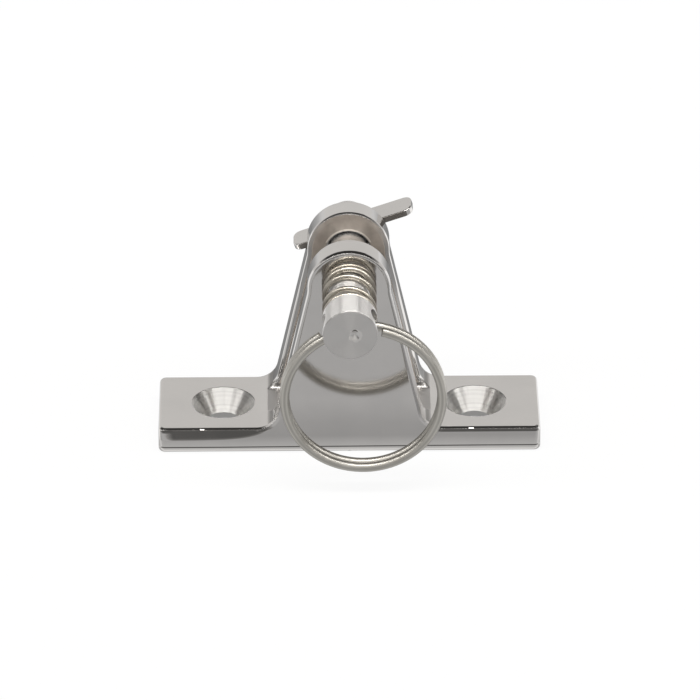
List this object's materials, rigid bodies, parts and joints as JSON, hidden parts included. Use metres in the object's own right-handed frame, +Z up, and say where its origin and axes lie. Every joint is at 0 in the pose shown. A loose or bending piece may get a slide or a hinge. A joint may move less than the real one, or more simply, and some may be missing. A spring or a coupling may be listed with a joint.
{
  "type": "deck hinge",
  "caption": "Polished stainless deck hinge with a flat two-screw base, upright clevis ears and a sprung quick-release pin with a pull ring and a toggle.",
  "frame": {"origin": "middle of the underside of the base, which lies on the deck", "axes": "+X along the base and its two screws, +Y along the pin from its ring to its toggle, +Z up from the deck"},
  "size_m": [0.0574, 0.037, 0.034],
  "materials": {
    "polished_steel": "stainless steel polished to a mirror",
    "spring_steel": "bright drawn stainless wire"
  },
  "bodies": {
    "fork": {"fork": "polished_steel"},
    "spring": {"spring": "spring_steel"},
    "pin": {"pin": "polished_steel", "rivet": "polished_steel"},
    "ring": {"ring": "spring_steel"},
    "toggle": {"toggle": "polished_steel"}
  },
  "joints": [
    {"name": "pin_push", "type": "slide", "parent": "fork", "child": "spring", "axis": [0, 1, 0], "range_m": [0, 0.0046], "stiffness_N_per_m": 4850, "deforming": ["spring"]},
    {"name": "pin_spin", "type": "hinge", "parent": "spring", "child": "pin", "pos_m": [0, 0, 0.0278], "axis": [0, 1, 0], "continuous": true},
    {"name": "ring_swing", "type": "hinge", "parent": "pin", "child": "ring", "pos_m": [0, -0.0198, 0.0278], "axis": [-0.9866, 0, -0.1633], "range_deg": [-12, 192]},
    {"name": "toggle_turn", "type": "hinge", "parent": "pin", "child": "toggle", "pos_m": [0, 0.0121, 0.0278], "axis": [-0.3338, 0, 0.9426], "range_deg": [0, 45]}
  ],
  "couplings": [
    {"joint": "toggle_turn", "follows": "pin_push", "rad_per_m": 170}
  ]
}
